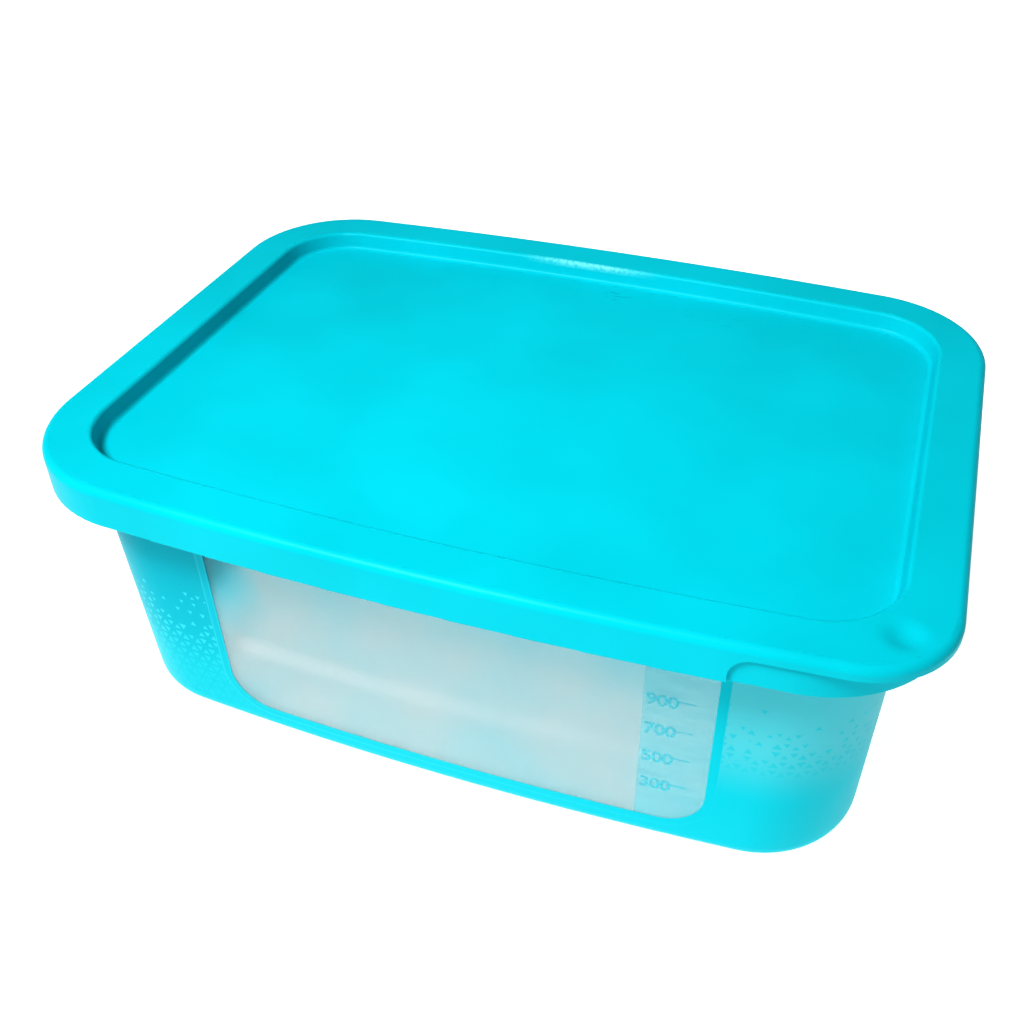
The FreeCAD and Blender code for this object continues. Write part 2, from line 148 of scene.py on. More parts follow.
# the milk's own colour, its painted shade colour under the lid and in the upper left corner,
# and its painted highlight colour
MILK, SHADED_MILK, HIGHLIGHT_MILK = "#E6F2F3", "#5CF0FF", "#F6FCFC"
SHADE_LEFT = (-38 * MM, -56 * MM)       # from where it starts to where it is full
SHADE_UP = (28 * MM, 54 * MM)
MOUTH_SHADE_UP = (40 * MM, 66 * MM)
MOUTH_SHADE = 0.25
CLOUD_SIZE, CLOUD_TINGE = 22 * MM, 0.18
BAND_HEIGHT = 29 * MM
BAND_CORE, BAND_REACH = 0.6 * MM, 5 * MM      # to either side of its middle
BAND_RUN = (-52 * MM, 50 * MM)
BAND_AT_LEFT, BAND_AT_RIGHT = 0.9, 0.15       # how strong it is there
BAND_LEFT_END = (-55 * MM, -50 * MM)
FROST_SIZE, FROST_DEPTH = 1.6 * MM, 0.05 * MM


def patch(tree, along, middle, full, gone, most=1.0, fade="LINEAR"):
    """A mask that is at its most round a middle, up to full away, and ends at gone."""
    offset = add_node(tree, "ShaderNodeMath", {0: along, 1: middle}, operation="SUBTRACT")
    way = add_node(tree, "ShaderNodeMath", {0: offset}, operation="ABSOLUTE")
    return add_node(tree, "ShaderNodeMapRange", {"Value": way, "From Min": full,
                    "From Max": gone, "To Min": most, "To Max": 0.0},
                    interpolation_type=fade)


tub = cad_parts["tub"]

# Polypropylene without pigment, from a lightly textured mould: milky, so light comes
# through it blurred. Painted shade and painted turquoise light from the lid and print
# darken its colour, most in the front's upper left corner and under the mouth, and
# random clouds tinge it unevenly elsewhere. A painted highlight, a pale band, runs along
# the long walls below half their height, brightest at the left, as light falling through
# onto the inside. The frost is coarser than the real one, or it would not show.
tub_plastic, tree = new_material("moulded_polypropylene_milky")
place = add_node(tree, "ShaderNodeTexCoord")
spot = add_node(tree, "ShaderNodeSeparateXYZ", {0: place.outputs["Object"]})
# painted shade: darker turquoise towards the front's upper left corner and just under the
# mouth, where the lid shades the wall and throws its colour on it; random clouds add an
# uneven tinge
leftward = add_node(tree, "ShaderNodeMapRange", {"Value": spot.outputs["X"],
                    "From Min": SHADE_LEFT[0], "From Max": SHADE_LEFT[1]},
                    interpolation_type="SMOOTHSTEP")
upward = add_node(tree, "ShaderNodeMapRange", {"Value": spot.outputs["Z"],
                  "From Min": SHADE_UP[0], "From Max": SHADE_UP[1]},
                  interpolation_type="SMOOTHSTEP")
mouthward = add_node(tree, "ShaderNodeMapRange", {"Value": spot.outputs["Z"],
                     "From Min": MOUTH_SHADE_UP[0], "From Max": MOUTH_SHADE_UP[1],
                     "To Max": MOUTH_SHADE}, interpolation_type="SMOOTHSTEP")
clouds = add_node(tree, "ShaderNodeTexNoise", {"Vector": place.outputs["Object"],
                  "Scale": 1 / CLOUD_SIZE, "Detail": 2.0, "Roughness": 0.5})
cloudy = add_node(tree, "ShaderNodeMapRange", {"Value": clouds, "From Min": 0.35,
                  "From Max": 0.7, "To Max": CLOUD_TINGE})
corner_shade = add_node(tree, "ShaderNodeMath", {0: leftward, 1: upward},
                        operation="MULTIPLY")
painted_shade = add_node(tree, "ShaderNodeMath", {0: corner_shade, 1: mouthward},
                     operation="MAXIMUM")
shade_and_clouds = add_node(tree, "ShaderNodeMath", {0: painted_shade, 1: cloudy}, operation="ADD",
                 use_clamp=True)
milk = add_node(tree, "ShaderNodeMix", {0: shade_and_clouds, 6: linear(MILK), 7: linear(SHADED_MILK)},
                data_type="RGBA")
# painted highlight: a pale band along the long walls, as of light falling through onto the
# inside, brightest at the left
band = patch(tree, spot.outputs["Z"], BAND_HEIGHT, BAND_CORE, BAND_REACH,
             fade="SMOOTHSTEP")
band_run = add_node(tree, "ShaderNodeMapRange", {"Value": spot.outputs["X"],
                    "From Min": BAND_RUN[0], "From Max": BAND_RUN[1],
                    "To Min": BAND_AT_LEFT, "To Max": BAND_AT_RIGHT})
band_start = add_node(tree, "ShaderNodeMapRange", {"Value": spot.outputs["X"],
                      "From Min": BAND_LEFT_END[0], "From Max": BAND_LEFT_END[1]},
                      interpolation_type="SMOOTHSTEP")
fading_band = add_node(tree, "ShaderNodeMath", {0: band, 1: band_run},
                       operation="MULTIPLY")
painted_highlight_band = add_node(tree, "ShaderNodeMath", {0: fading_band, 1: band_start},
                      operation="MULTIPLY")
highlighted_milk = add_node(tree, "ShaderNodeMix", {0: painted_highlight_band, 6: milk.outputs[2],
                       7: linear(HIGHLIGHT_MILK)}, data_type="RGBA")
frost = add_node(tree, "ShaderNodeTexNoise", {"Vector": place.outputs["Object"],
                 "Scale": 1 / FROST_SIZE, "Detail": 3.0})
frosted = add_node(tree, "ShaderNodeBump", {"Height": frost, "Strength": 0.05,
                   "Distance": FROST_DEPTH})
surface = add_node(tree, "ShaderNodeBsdfPrincipled",
                   {"Base Color": highlighted_milk.outputs[2], "Roughness": 0.25, "IOR": 1.35,
                    "Transmission Weight": 0.88, "Normal": frosted})
add_node(tree, "ShaderNodeOutputMaterial", {"Surface": surface})
tub.material_slots[0].material = tub_plastic

# ----------------------------------------------------------------------------- film
# The printed film in the tub's outside: a band of polypropylene 0.12 mm thick, laid in
# the mould before the tub is shot, so that it melts onto the wall. It goes round all
# four walls and leaves a bare window in the front and in the back.

FILM_THICKNESS = 0.12 * MM
FILM_LIFT = 0.04 * MM         # keeps the film's inside clear of the wall
FILM_BOTTOM = 1.0 * MM        # on the edge between wall and base
FILM_TOP = 65.5 * MM          # behind the lid's skirt
FLANGE_UNDERSIDE = 66.1 * MM
FACES_DOWN = -0.98            # a face that leans further down is the base's or flange's
INSIDE_REACH = (80.0 * MM, 52.0 * MM)   # nothing inside the tub that faces out is past it
WINDOW_LEFT = -56.0 * MM
WINDOW_RIGHT = 60.3 * MM
WINDOW_BOTTOM = 8.4 * MM
WINDOW_CORNER = 10.0 * MM
CUTTER_TOP = 2 * FILM_TOP
CUTTER_DEPTH = 200 * MM       # through both long walls
MERGED_WITHIN = 0.001 * MM
SHARP_ANGLE = 30              # degrees

film = tub.copy()
film.data = tub.data.copy()
film.name = "film"
bpy.context.collection.objects.link(film)
only_select(film)
bpy.ops.mesh.customdata_custom_splitnormals_clear()
bpy.ops.object.mode_set(mode="EDIT")
bpy.ops.mesh.select_all(action="SELECT")
bpy.ops.mesh.remove_doubles(threshold=MERGED_WITHIN)
bpy.ops.mesh.select_all(action="DESELECT")
wall_mesh = bmesh.from_edit_mesh(film.data)
for face in wall_mesh.faces:
    middle = face.calc_center_median()
    faces_out = face.normal.x * middle.x + face.normal.y * middle.y > 0
    outside = abs(middle.x) > INSIDE_REACH[0] or abs(middle.y) > INSIDE_REACH[1]
    low = max(vertex.co.z for vertex in face.verts) < FLANGE_UNDERSIDE
    leans = face.normal.z < FACES_DOWN
    face.select = not (faces_out and outside and low and not leans)
bmesh.update_edit_mesh(film.data)
bpy.ops.mesh.delete(type="FACE")
bpy.ops.mesh.select_all(action="SELECT")
bpy.ops.mesh.bisect(plane_co=(0, 0, FILM_BOTTOM), plane_no=(0, 0, 1), clear_inner=True)
bpy.ops.mesh.select_all(action="SELECT")
bpy.ops.mesh.bisect(plane_co=(0, 0, FILM_TOP), plane_no=(0, 0, 1), clear_outer=True)
bpy.ops.object.mode_set(mode="OBJECT")
lift = film.modifiers.new("lift", "DISPLACE")
lift.strength = FILM_LIFT
lift.mid_level = 0
bpy.ops.object.modifier_apply(modifier="lift")
thickness = film.modifiers.new("thickness", "SOLIDIFY")
thickness.thickness = FILM_THICKNESS
thickness.offset = 1
thickness.use_even_offset = False
bpy.ops.object.modifier_apply(modifier="thickness")

# the cutter for both windows: a block whose two lower long edges are rounded
bpy.ops.object.select_all(action="DESELECT")
bpy.ops.mesh.primitive_cube_add(
    size=1, location=((WINDOW_LEFT + WINDOW_RIGHT) / 2, 0, (WINDOW_BOTTOM + CUTTER_TOP) / 2))
cutter = bpy.context.object
cutter.scale = (WINDOW_RIGHT - WINDOW_LEFT, CUTTER_DEPTH, CUTTER_TOP - WINDOW_BOTTOM)
bpy.ops.object.transform_apply(location=True, rotation=True, scale=True)
bpy.ops.object.mode_set(mode="EDIT")
bpy.ops.mesh.select_all(action="DESELECT")
cutter_mesh = bmesh.from_edit_mesh(cutter.data)
for edge in cutter_mesh.edges:
    low = all(vertex.co.z < FILM_TOP for vertex in edge.verts)
    runs_back = abs(edge.verts[0].co.x - edge.verts[1].co.x) < MM
    edge.select = low and runs_back
bmesh.update_edit_mesh(cutter.data)
bpy.ops.mesh.bevel(offset=WINDOW_CORNER, segments=16, affect="EDGES")
bpy.ops.object.mode_set(mode="OBJECT")
only_select(film)
cut = film.modifiers.new("windows", "BOOLEAN")
cut.object = cutter
cut.solver = "EXACT"
bpy.ops.object.modifier_apply(modifier="windows")
bpy.data.objects.remove(cutter)
only_select(film)
bpy.ops.object.shade_smooth_by_angle(angle=math.radians(SHARP_ANGLE), keep_sharp_edges=False)

# The print's map counts triangles: sideways, round the walls from the middle of the
# front, and upwards, in rows.
TRIANGLES_ROUND = 164         # in one turn round the tub
ROW_HEIGHT = 3.0 * MM
TURN_X, TURN_Y = 68.8 * MM, 37.5 * MM    # middles of the tub's rounded corners
TURN_RADIUS = 22.7 * MM
QUARTER_ROUND = TURN_X + TURN_RADIUS * math.pi / 2 + TURN_Y
PITCH = 4 * QUARTER_ROUND / TRIANGLES_ROUND


def along_print(point):
    """How far a point is round the walls from the middle of the front, to the right."""
    x, y = abs(point.x), abs(point.y)
    if x > TURN_X and y > TURN_Y:
        way = TURN_X + TURN_RADIUS * math.atan2(x - TURN_X, y - TURN_Y)
    elif y > TURN_Y:
        way = x
    else:
        way = QUARTER_ROUND - y
    if point.y > 0:
        way = 2 * QUARTER_ROUND - way
    return way if point.x > 0 else -way


film.data.uv_layers.new(name="print")
for layer in [layer for layer in film.data.uv_layers if layer.name != "print"]:
    film.data.uv_layers.remove(layer)
print_map = film.data.uv_layers["print"]
for polygon in film.data.polygons:
    corners = [film.data.vertices[index].co for index in polygon.vertices]
    ways = [along_print(corner) for corner in corners]
    if max(ways) - min(ways) > 2 * QUARTER_ROUND:
        ways = [way if way > 0 else way + 4 * QUARTER_ROUND for way in ways]
    for loop, way, corner in zip(polygon.loop_indices, ways, corners):
        print_map.data[loop].uv = (way / PITCH, corner.z / ROW_HEIGHT)

# the print's ground at the left, and at the right painted paler, as light coming through
# from behind
GROUND_LEFT, LIT_GROUND_RIGHT = "#00BFD0", "#6ADEE8"
DENSE_LEFT, DENSE_RIGHT = "#04CCD8", "#00CCDA"
# the pale colour of the triangles at the left, and of the painted highlights along the
# window strip's edges
PALE_INK_AND_HIGHLIGHT = "#6AEAF4"
FILM_TINT = "#C4F8FF"
BORDER = 2.1 * MM             # the solid strip round each window
BORDER_FADE = 0.1 * MM
# painted highlights along the window strip's inner and outer edges, strongest at the left
INNER_HIGHLIGHT, INNER_HIGHLIGHT_FADE, INNER_HIGHLIGHT_SHARE = 0.3 * MM, 0.2 * MM, 0.2
OUTER_HIGHLIGHT_HALF, OUTER_HIGHLIGHT_REACH, OUTER_HIGHLIGHT_SHARE = 0.12 * MM, 0.2 * MM, 0.35
HIGHLIGHTS_AT_LEFT, HIGHLIGHTS_AT_RIGHT = 0.8, 0.1
PRINT_LEFT, PRINT_RIGHT = -62 * MM, 62 * MM
PRINT_RISE = 8 * MM           # how much higher the print's foot stands at the right
SHRINK_FROM, SHRINK_TO = 10 * MM, 42 * MM
SHRINK_LOW, SHRINK_HIGH, SHRINK_CHANCE = 0.04, 0.19, 0.06   # in rows of the print
TRIANGLE_FADE = 0.025
THINNING_FROM, THINNING_TO = 24 * MM, 44 * MM
FOOT_SOLID, FOOT_END = 12 * MM, 34 * MM
TRIANGLE_INK = 0.45
COVER_AT_LEFT, COVER_AT_RIGHT = 0.95, 0.84
FOOT_AT_LEFT = 0.7            # how dense the foot is there
DENSE_AT_LEFT, DENSE_AT_RIGHT = 0.9, 0.65     # of the triangles
PALE_AT_LEFT, PALE_AT_FOOT = 0.36, 0.12       # of the triangles

# Clear film printed in turquoise on its back, so the ink shines through smooth, satin
# plastic: a solid foot that thins out upwards into small triangles, an open ground that
# lets some light through, and a solid strip round each window. Fine pale lines at the
# strip's two edges are painted highlights of those edges, strongest at the left, and the
# ground is painted paler towards the right, as light coming through from behind. The
# triangles are paler than the ground at the left and deeper at the right.
film_print, tree = new_material("printed_polypropylene_film")
place = add_node(tree, "ShaderNodeTexCoord")
spot = add_node(tree, "ShaderNodeSeparateXYZ", {0: place.outputs["Object"]})
height = spot.outputs["Z"]

# how far a point is outside the window, whose two lower corners are rounded
half_window = (WINDOW_RIGHT - WINDOW_LEFT) / 2
from_middle = add_node(tree, "ShaderNodeMath", {0: spot.outputs["X"],
                       1: (WINDOW_LEFT + WINDOW_RIGHT) / 2}, operation="SUBTRACT")
sideways = add_node(tree, "ShaderNodeMath", {0: from_middle}, operation="ABSOLUTE")
past_side = add_node(tree, "ShaderNodeMath", {0: sideways, 1: half_window - WINDOW_CORNER},
                     operation="SUBTRACT")
below = add_node(tree, "ShaderNodeMath", {0: WINDOW_BOTTOM + WINDOW_CORNER, 1: height},
                 operation="SUBTRACT")
out_side = add_node(tree, "ShaderNodeMath", {0: past_side, 1: 0.0}, operation="MAXIMUM")
out_below = add_node(tree, "ShaderNodeMath", {0: below, 1: 0.0}, operation="MAXIMUM")
corner_way = add_node(tree, "ShaderNodeCombineXYZ", {0: out_side, 1: out_below})
round_way = add_node(tree, "ShaderNodeVectorMath", {0: corner_way}, operation="LENGTH")
inner = add_node(tree, "ShaderNodeMath", {0: past_side, 1: below}, operation="MAXIMUM")
inner_way = add_node(tree, "ShaderNodeMath", {0: inner, 1: 0.0}, operation="MINIMUM")
both_ways = add_node(tree, "ShaderNodeMath", {0: round_way.outputs["Value"], 1: inner_way},
                     operation="ADD")
from_window = add_node(tree, "ShaderNodeMath", {0: both_ways, 1: WINDOW_CORNER},
                       operation="SUBTRACT")

# the solid strip round the window, and the painted highlights, fine pale lines, at its two
# edges
border = add_node(tree, "ShaderNodeMapRange", {"Value": from_window, "From Min": BORDER,
                  "From Max": BORDER + BORDER_FADE, "To Min": 1.0, "To Max": 0.0})
inner_highlight = add_node(tree, "ShaderNodeMapRange", {"Value": from_window,
                      "From Min": INNER_HIGHLIGHT, "From Max": INNER_HIGHLIGHT + INNER_HIGHLIGHT_FADE,
                      "To Min": INNER_HIGHLIGHT_SHARE, "To Max": 0.0})
outer_highlight = patch(tree, from_window, BORDER, OUTER_HIGHLIGHT_HALF, OUTER_HIGHLIGHT_REACH,
                   most=OUTER_HIGHLIGHT_SHARE)
both_highlights = add_node(tree, "ShaderNodeMath", {0: inner_highlight, 1: outer_highlight},
                      operation="MAXIMUM")

# towards the right the painted highlight lines fade and the print's foot stands higher
rightward = add_node(tree, "ShaderNodeMapRange", {"Value": spot.outputs["X"],
                     "From Min": PRINT_LEFT, "From Max": PRINT_RIGHT})
highlight_share = add_node(tree, "ShaderNodeMapRange", {"Value": rightward,
                      "To Min": HIGHLIGHTS_AT_LEFT, "To Max": HIGHLIGHTS_AT_RIGHT})
edge_highlights = add_node(tree, "ShaderNodeMath", {0: both_highlights, 1: highlight_share},
                 operation="MULTIPLY")
lowered = add_node(tree, "ShaderNodeMath", {0: rightward, 1: -PRINT_RISE, 2: height},
                   operation="MULTIPLY_ADD")

# a lattice of alternate upright and hanging triangles, and the way in from their sides
print_place = add_node(tree, "ShaderNodeUVMap", uv_map="print")
lattice = add_node(tree, "ShaderNodeSeparateXYZ", {0: print_place})
skew = add_node(tree, "ShaderNodeMath", {0: lattice.outputs["Y"], 1: -0.5,
                2: lattice.outputs["X"]}, operation="MULTIPLY_ADD")
part_a = add_node(tree, "ShaderNodeMath", {0: skew}, operation="FRACT")
part_b = add_node(tree, "ShaderNodeMath", {0: lattice.outputs["Y"]}, operation="FRACT")
total = add_node(tree, "ShaderNodeMath", {0: part_a, 1: part_b}, operation="ADD")
hanging = add_node(tree, "ShaderNodeMath", {0: total, 1: 1.0}, operation="GREATER_THAN")
side_a = add_node(tree, "ShaderNodeMath", {0: hanging, 1: part_a}, operation="SUBTRACT")
side_b = add_node(tree, "ShaderNodeMath", {0: hanging, 1: part_b}, operation="SUBTRACT")
side_c = add_node(tree, "ShaderNodeMath", {0: 1.0, 1: total}, operation="SUBTRACT")
way_a = add_node(tree, "ShaderNodeMath", {0: side_a}, operation="ABSOLUTE")
way_b = add_node(tree, "ShaderNodeMath", {0: side_b}, operation="ABSOLUTE")
way_c = add_node(tree, "ShaderNodeMath", {0: side_c}, operation="ABSOLUTE")
way_ab = add_node(tree, "ShaderNodeMath", {0: way_a, 1: way_b}, operation="MINIMUM")
to_side = add_node(tree, "ShaderNodeMath", {0: way_ab, 1: way_c}, operation="MINIMUM")

# each triangle shrinks towards its middle, more so further up, and near the top some
# are left out by chance
cell_a = add_node(tree, "ShaderNodeMath", {0: skew}, operation="FLOOR")
cell_b = add_node(tree, "ShaderNodeMath", {0: lattice.outputs["Y"]}, operation="FLOOR")
cell = add_node(tree, "ShaderNodeCombineXYZ", {0: cell_a, 1: cell_b, 2: hanging})
chance = add_node(tree, "ShaderNodeTexWhiteNoise", {"Vector": cell}, noise_dimensions="3D")
chances = add_node(tree, "ShaderNodeSeparateColor", {0: chance.outputs["Color"]})
shrink_up = add_node(tree, "ShaderNodeMapRange", {"Value": lowered,
                     "From Min": SHRINK_FROM, "From Max": SHRINK_TO,
                     "To Min": SHRINK_LOW, "To Max": SHRINK_HIGH})
shrink = add_node(tree, "ShaderNodeMath", {0: chances.outputs[0], 1: SHRINK_CHANCE,
                  2: shrink_up}, operation="MULTIPLY_ADD")
inside = add_node(tree, "ShaderNodeMath", {0: to_side, 1: shrink}, operation="SUBTRACT")
triangle = add_node(tree, "ShaderNodeMapRange", {"Value": inside, "From Min": 0.0,
                    "From Max": TRIANGLE_FADE})
kept_share = add_node(tree, "ShaderNodeMapRange", {"Value": lowered,
                      "From Min": THINNING_FROM, "From Max": THINNING_TO,
                      "To Min": 1.0, "To Max": 0.0})
kept = add_node(tree, "ShaderNodeMath", {0: chances.outputs[1], 1: kept_share},
                operation="LESS_THAN")
off_border = add_node(tree, "ShaderNodeMath", {0: 1.0, 1: border}, operation="SUBTRACT")
kept_free = add_node(tree, "ShaderNodeMath", {0: kept, 1: off_border}, operation="MULTIPLY")
triangles = add_node(tree, "ShaderNodeMath", {0: triangle, 1: kept_free},
                     operation="MULTIPLY")

# how much of the film the ink covers: all of it at the foot, less of it further up
foot = add_node(tree, "ShaderNodeMapRange", {"Value": lowered, "From Min": FOOT_SOLID,
                "From Max": FOOT_END, "To Min": 1.0, "To Max": 0.0},
                interpolation_type="SMOOTHSTEP")
solid = add_node(tree, "ShaderNodeMath", {0: border, 1: foot}, operation="MAXIMUM")
inked_triangles = add_node(tree, "ShaderNodeMath", {0: triangles, 1: TRIANGLE_INK},
                           operation="MULTIPLY")
ink = add_node(tree, "ShaderNodeMath", {0: solid, 1: inked_triangles},
               operation="MAXIMUM")
open_cover = add_node(tree, "ShaderNodeMapRange", {"Value": rightward,
                      "To Min": COVER_AT_LEFT, "To Max": COVER_AT_RIGHT})
cover = add_node(tree, "ShaderNodeMapRange", {"Value": ink, "To Min": open_cover,
                 "To Max": 1.0})

# the ground's colour, painted paler towards the right as light coming through from
# behind, the denser colour of foot, border and triangles, and the pale one of the
# painted highlight lines and of the triangles at the left
ground_and_light = add_node(tree, "ShaderNodeMix", {0: rightward, 6: linear(GROUND_LEFT),
                         7: linear(LIT_GROUND_RIGHT)}, data_type="RGBA")
foot_share = add_node(tree, "ShaderNodeMapRange", {"Value": rightward,
                      "To Min": FOOT_AT_LEFT})
dense_foot = add_node(tree, "ShaderNodeMath", {0: foot, 1: foot_share},
                      operation="MULTIPLY")
dense_border = add_node(tree, "ShaderNodeMath", {0: border, 1: rightward},
                        operation="MULTIPLY")
dense_solid = add_node(tree, "ShaderNodeMath", {0: dense_foot, 1: dense_border},
                       operation="MAXIMUM")
triangle_share = add_node(tree, "ShaderNodeMapRange", {"Value": rightward,
                          "To Min": DENSE_AT_LEFT, "To Max": DENSE_AT_RIGHT})
dense_triangles = add_node(tree, "ShaderNodeMath", {0: triangles, 1: triangle_share},
                           operation="MULTIPLY")
dense = add_node(tree, "ShaderNodeMath", {0: dense_triangles, 1: dense_solid},
                 operation="MAXIMUM")
dense_colour = add_node(tree, "ShaderNodeMix", {0: rightward, 6: linear(DENSE_LEFT),
                        7: linear(DENSE_RIGHT)}, data_type="RGBA")
ink_colour = add_node(tree, "ShaderNodeMix", {0: dense, 6: ground_and_light.outputs[2],
                      7: dense_colour.outputs[2]}, data_type="RGBA")
left_share = add_node(tree, "ShaderNodeMapRange", {"Value": rightward, "From Max": 0.5,
                      "To Min": PALE_AT_LEFT, "To Max": 0.0})
above_foot = add_node(tree, "ShaderNodeMapRange", {"Value": foot, "To Min": 1.0,
                      "To Max": PALE_AT_FOOT})
pale_share = add_node(tree, "ShaderNodeMath", {0: left_share, 1: above_foot},
                      operation="MULTIPLY")
pale_triangles = add_node(tree, "ShaderNodeMath", {0: triangles, 1: pale_share},
                          operation="MULTIPLY")
pale_and_highlight = add_node(tree, "ShaderNodeMath", {0: edge_highlights, 1: pale_triangles},
                operation="MAXIMUM")
print_colour = add_node(tree, "ShaderNodeMix", {0: pale_and_highlight, 6: ink_colour.outputs[2],
                        7: linear(PALE_INK_AND_HIGHLIGHT)}, data_type="RGBA")
inked = add_node(tree, "ShaderNodeBsdfPrincipled",
                 {"Base Color": print_colour.outputs[2], "Roughness": 0.35, "IOR": 1.49,
                  "Specular IOR Level": 0.06})
clear = add_node(tree, "ShaderNodeBsdfTransparent", {"Color": linear(FILM_TINT)})
sheet = add_node(tree, "ShaderNodeMixShader", {0: cover, 1: clear, 2: inked})
add_node(tree, "ShaderNodeOutputMaterial", {"Surface": sheet})
film.data.materials.clear()
film.data.materials.append(film_print)
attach(film, "root")

# ---------------------------------------------------------------------------- scale
# The scale at the right of the front window: a tinted panel with four numbers of
# millilitres and a dash beside each. Panel and ink are printed layers on the wall, a
# few hundredths of a millimetre thick.

WALL_HALF_WIDTH = 64.7 * MM   # the wall's outside at the shoulder, at its widest
WALL_LEAN = 1.8 * MM          # how far the wall stands in at its foot
WALL_TOP = 66.0 * MM
WALL_BOW = 950 * MM           # radius of the long side's bow
PANEL_LEFT = 45.3 * MM
PANEL_OVERLAP = 1.0 * MM      # how far the panel runs under the window's border
PANEL_LIFT, PANEL_THICKNESS = 0.01 * MM, 0.02 * MM
PANEL_TINT = "#50E2F0"
STREAK_WIDTH, STREAK_HEIGHT = 9 * MM, 2.5 * MM
VEIL_THIN, VEIL_THICK = 0.14, 0.22
MARKS = ((900, 46.7 * MM), (700, 37.7 * MM), (500, 28.8 * MM), (300, 19.8 * MM))
NUMBER_LEFT = 45.8 * MM
NUMBER_HEIGHT = 3.4 * MM
FONT_SHARE = 1.4              # the font's size for digits of a height of one
NUMBER_WEIGHT = 0.11 * MM     # how much bolder than the font
DASH_LEFT, DASH_RIGHT = 52.4 * MM, 56.2 * MM
DASH_WIDTH = 0.38 * MM
DASH_RISE = 0.8 * MM
DASH_ROUND = 0.45             # share of its width that rounds an end's corner
INK_THICKNESS = 0.03 * MM
INK_LIFT = 0.05 * MM
INK_TURQUOISE = "#22DCEC"
SPECK_SIZE = 0.35 * MM
SPECK_THIN, SPECK_THICK = 0.24, 0.46


def front_wall(x, z, lift):
    """The point of the front wall's outside at x and z, moved out by a lift."""
    reach = WALL_HALF_WIDTH - WALL_LEAN * (1 - z / WALL_TOP)
    out = reach - WALL_BOW + math.sqrt(WALL_BOW ** 2 - x ** 2) + lift
    return Vector((x, -out, z))


def laid_on_wall(piece, lift):
    """Bends a flat piece, drawn upright in X and Z, onto the front wall."""
    for vertex in piece.data.vertices:
        flat = vertex.co
        vertex.co = front_wall(flat.x, flat.z, lift - flat.y)


bpy.ops.object.select_all(action="DESELECT")
bpy.ops.mesh.primitive_grid_add(x_subdivisions=12, y_subdivisions=8, size=1,
                                rotation=(math.pi / 2, 0, 0))
panel = bpy.context.object
panel.name = "scale_panel"
panel_right = WINDOW_RIGHT + PANEL_OVERLAP
panel_bottom = WINDOW_BOTTOM - PANEL_OVERLAP
panel.scale = (panel_right - PANEL_LEFT, FILM_TOP - panel_bottom, 1)
panel.location = ((PANEL_LEFT + panel_right) / 2, 0, (FILM_TOP + panel_bottom) / 2)
bpy.ops.object.transform_apply(location=True, rotation=True, scale=True)
laid_on_wall(panel, PANEL_LIFT)
only_select(panel)
coat = panel.modifiers.new("coat", "SOLIDIFY")
coat.thickness = PANEL_THICKNESS
coat.offset = 1
bpy.ops.object.modifier_apply(modifier="coat")

# A clear lacquer with a trace of turquoise, laid on by a roller: a thin veil, a little
# uneven in level streaks, that hardly shines.
panel_lacquer, tree = new_material("tinted_clear_lacquer")
place = add_node(tree, "ShaderNodeTexCoord")
run = add_node(tree, "ShaderNodeMapping", {0: place.outputs["Object"],
               "Scale": (1 / STREAK_WIDTH, 1 / STREAK_WIDTH, 1 / STREAK_HEIGHT)})
streaks = add_node(tree, "ShaderNodeTexNoise", {"Vector": run, "Scale": 1.0, "Detail": 2.0})
veil = add_node(tree, "ShaderNodeMapRange", {"Value": streaks, "From Min": 0.3,
                "From Max": 0.7, "To Min": VEIL_THIN, "To Max": VEIL_THICK})
surface = add_node(tree, "ShaderNodeBsdfPrincipled",
                   {"Base Color": linear(PANEL_TINT), "Roughness": 0.4, "Alpha": veil})
add_node(tree, "ShaderNodeOutputMaterial", {"Surface": surface})
panel.data.materials.append(panel_lacquer)
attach(panel, "root")

# Screen-printed ink in a thin layer: half open, and speckled where it didn't take, so
# the numbers are soft and faint. The specks are coarser than real ones, or they would
# not show.
scale_ink, tree = new_material("printing_ink_turquoise")
place = add_node(tree, "ShaderNodeTexCoord")
specks = add_node(tree, "ShaderNodeTexNoise", {"Vector": place.outputs["Object"],
                  "Scale": 1 / SPECK_SIZE, "Detail": 2.0})
ink_cover = add_node(tree, "ShaderNodeMapRange", {"Value": specks, "From Min": 0.35,
                     "From Max": 0.65, "To Min": SPECK_THIN, "To Max": SPECK_THICK})
surface = add_node(tree, "ShaderNodeBsdfPrincipled",
                   {"Base Color": linear(INK_TURQUOISE), "Roughness": 0.4,
                    "Alpha": ink_cover})
add_node(tree, "ShaderNodeOutputMaterial", {"Surface": surface})

